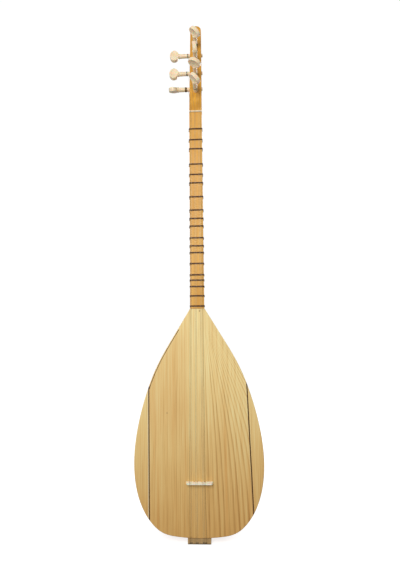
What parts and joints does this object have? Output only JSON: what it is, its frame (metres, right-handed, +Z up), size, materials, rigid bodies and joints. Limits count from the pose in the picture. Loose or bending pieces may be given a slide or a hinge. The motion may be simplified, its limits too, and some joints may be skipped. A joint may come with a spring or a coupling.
{
  "type": "baglama saz",
  "caption": "Short-necked baglama, a fretted long lute with a stave-built bowl, tied movable frets, turning pegs and metal strings in three courses.",
  "frame": {"origin": "middle of the string holder's lower face, at the soundboard's front plane", "axes": "+Z up along the neck, the soundboard faces -Y, +X to the right of someone who looks at the soundboard"},
  "size_m": [0.2402, 0.1969, 1.0564],
  "materials": {
    "soundboard_wood": "oiled, satin",
    "filet_wood": "dark inlay, satin",
    "bowl_wood": "lacquered, satin",
    "inner_wood": "raw",
    "neck_wood": "lacquered, satin",
    "head_wood": "lacquered, satin",
    "nut_bone": "polished",
    "bridge_wood": "raw, fine sanded",
    "holder_wood": "oiled",
    "fret_nylon": "clear brown nylon",
    "string_steel": "bright",
    "string_wound": "bronze wound",
    "peg_cream": "polished"
  },
  "bodies": {
    "instrument": {"soundboard_centre": "soundboard_wood", "soundboard_wing_left": "soundboard_wood", "soundboard_wing_right": "soundboard_wood", "soundboard_filet_left": "filet_wood", "soundboard_filet_right": "filet_wood", "rim_line_left": "filet_wood", "bowl_stave_1": "bowl_wood", "bowl_stave_2": "bowl_wood", "bowl_stave_3": "bowl_wood", "bowl_stave_4": "bowl_wood", "bowl_stave_5": "bowl_wood", "bowl_stave_6": "bowl_wood", "bowl_stave_7": "bowl_wood", "bowl_stave_8": "bowl_wood", "bowl_stave_9": "bowl_wood", "bowl_filets": "filet_wood", "tail_block": "inner_wood", "neck_block": "inner_wood", "brace_lower": "inner_wood", "brace_middle": "inner_wood", "brace_upper": "inner_wood", "neck": "neck_wood", "nut": "nut_bone", "head": "head_wood", "bridge": "bridge_wood", "string_holder": "holder_wood", "string_1_wound": "string_wound", "string_2_plain": "string_steel", "string_3_plain": "string_steel", "string_4_plain": "string_steel", "string_5_plain": "string_steel", "string_6_plain": "string_steel", "string_7_wound": "string_wound"},
    "peg_front_1": {"peg_front_1": "peg_cream"},
    "peg_front_2": {"peg_front_2": "peg_cream"},
    "peg_front_3": {"peg_front_3": "peg_cream"},
    "peg_front_4": {"peg_front_4": "peg_cream"},
    "peg_side_1": {"peg_side_1": "peg_cream"},
    "peg_side_2": {"peg_side_2": "peg_cream"},
    "peg_side_3": {"peg_side_3": "peg_cream"},
    "fret_01": {"fret_01": "fret_nylon"},
    "fret_02": {"fret_02": "fret_nylon"},
    "fret_03": {"fret_03": "fret_nylon"},
    "fret_04": {"fret_04": "fret_nylon"},
    "fret_05": {"fret_05": "fret_nylon"},
    "fret_06": {"fret_06": "fret_nylon"},
    "fret_07": {"fret_07": "fret_nylon"},
    "fret_08": {"fret_08": "fret_nylon"},
    "fret_09": {"fret_09": "fret_nylon"},
    "fret_10": {"fret_10": "fret_nylon"},
    "fret_11": {"fret_11": "fret_nylon"},
    "fret_12": {"fret_12": "fret_nylon"},
    "fret_13": {"fret_13": "fret_nylon"},
    "fret_14": {"fret_14": "fret_nylon"},
    "fret_15": {"fret_15": "fret_nylon"},
    "fret_16": {"fret_16": "fret_nylon"},
    "fret_17": {"fret_17": "fret_nylon"},
    "fret_18": {"fret_18": "fret_nylon"},
    "fret_19": {"fret_19": "fret_nylon"}
  },
  "joints": [
    {"name": "front_1_turn", "type": "hinge", "parent": "instrument", "child": "peg_front_1", "pos_m": [0, 0.02843, 1.00093], "axis": [0, -0.9848, 0.1736], "continuous": true},
    {"name": "front_2_turn", "type": "hinge", "parent": "instrument", "child": "peg_front_2", "pos_m": [0, 0.02131, 0.96055], "axis": [0, -0.9848, 0.1736], "continuous": true},
    {"name": "front_3_turn", "type": "hinge", "parent": "instrument", "child": "peg_front_3", "pos_m": [0, 0.01428, 0.92066], "axis": [0, -0.9848, 0.1736], "continuous": true},
    {"name": "front_4_turn", "type": "hinge", "parent": "instrument", "child": "peg_front_4", "pos_m": [0, 0.00734, 0.88127], "axis": [0, -0.9848, 0.1736], "continuous": true},
    {"name": "side_1_turn", "type": "hinge", "parent": "instrument", "child": "peg_side_1", "pos_m": [-0.0121, 0.03458, 0.98106], "axis": [-1, 0, 0], "continuous": true},
    {"name": "side_2_turn", "type": "hinge", "parent": "instrument", "child": "peg_side_2", "pos_m": [-0.01236, 0.02616, 0.93329], "axis": [-1, 0, 0], "continuous": true},
    {"name": "side_3_turn", "type": "hinge", "parent": "instrument", "child": "peg_side_3", "pos_m": [-0.01258, 0.01886, 0.89193], "axis": [-1, 0, 0], "continuous": true},
    {"name": "fret_01_slide", "type": "slide", "parent": "instrument", "child": "fret_01", "axis": [0, 0, 1], "range_m": [-0.003, 0.003]},
    {"name": "fret_02_slide", "type": "slide", "parent": "instrument", "child": "fret_02", "axis": [0, 0, 1], "range_m": [-0.003, 0.003]},
    {"name": "fret_03_slide", "type": "slide", "parent": "instrument", "child": "fret_03", "axis": [0, 0, 1], "range_m": [-0.003, 0.003]},
    {"name": "fret_04_slide", "type": "slide", "parent": "instrument", "child": "fret_04", "axis": [0, 0, 1], "range_m": [-0.003, 0.003]},
    {"name": "fret_05_slide", "type": "slide", "parent": "instrument", "child": "fret_05", "axis": [0, 0, 1], "range_m": [-0.003, 0.003]},
    {"name": "fret_06_slide", "type": "slide", "parent": "instrument", "child": "fret_06", "axis": [0, 0, 1], "range_m": [-0.003, 0.003]},
    {"name": "fret_07_slide", "type": "slide", "parent": "instrument", "child": "fret_07", "axis": [0, 0, 1], "range_m": [-0.003, 0.003]},
    {"name": "fret_08_slide", "type": "slide", "parent": "instrument", "child": "fret_08", "axis": [0, 0, 1], "range_m": [-0.003, 0.003]},
    {"name": "fret_09_slide", "type": "slide", "parent": "instrument", "child": "fret_09", "axis": [0, 0, 1], "range_m": [-0.003, 0.003]},
    {"name": "fret_10_slide", "type": "slide", "parent": "instrument", "child": "fret_10", "axis": [0, 0, 1], "range_m": [-0.003, 0.003]},
    {"name": "fret_11_slide", "type": "slide", "parent": "instrument", "child": "fret_11", "axis": [0, 0, 1], "range_m": [-0.003, 0.003]},
    {"name": "fret_12_slide", "type": "slide", "parent": "instrument", "child": "fret_12", "axis": [0, 0, 1], "range_m": [-0.003, 0.003]},
    {"name": "fret_13_slide", "type": "slide", "parent": "instrument", "child": "fret_13", "axis": [0, 0, 1], "range_m": [-0.003, 0.003]},
    {"name": "fret_14_slide", "type": "slide", "parent": "instrument", "child": "fret_14", "axis": [0, 0, 1], "range_m": [-0.003, 0.003]},
    {"name": "fret_15_slide", "type": "slide", "parent": "instrument", "child": "fret_15", "axis": [0, 0, 1], "range_m": [-0.003, 0.003]},
    {"name": "fret_16_slide", "type": "slide", "parent": "instrument", "child": "fret_16", "axis": [0, 0, 1], "range_m": [-0.003, 0.003]},
    {"name": "fret_17_slide", "type": "slide", "parent": "instrument", "child": "fret_17", "axis": [0, 0, 1], "range_m": [-0.003, 0.003]},
    {"name": "fret_18_slide", "type": "slide", "parent": "instrument", "child": "fret_18", "axis": [0, 0, 1], "range_m": [-0.003, 0.003]},
    {"name": "fret_19_slide", "type": "slide", "parent": "instrument", "child": "fret_19", "axis": [0, 0, 1], "range_m": [-0.0028, 0.003]}
  ]
}
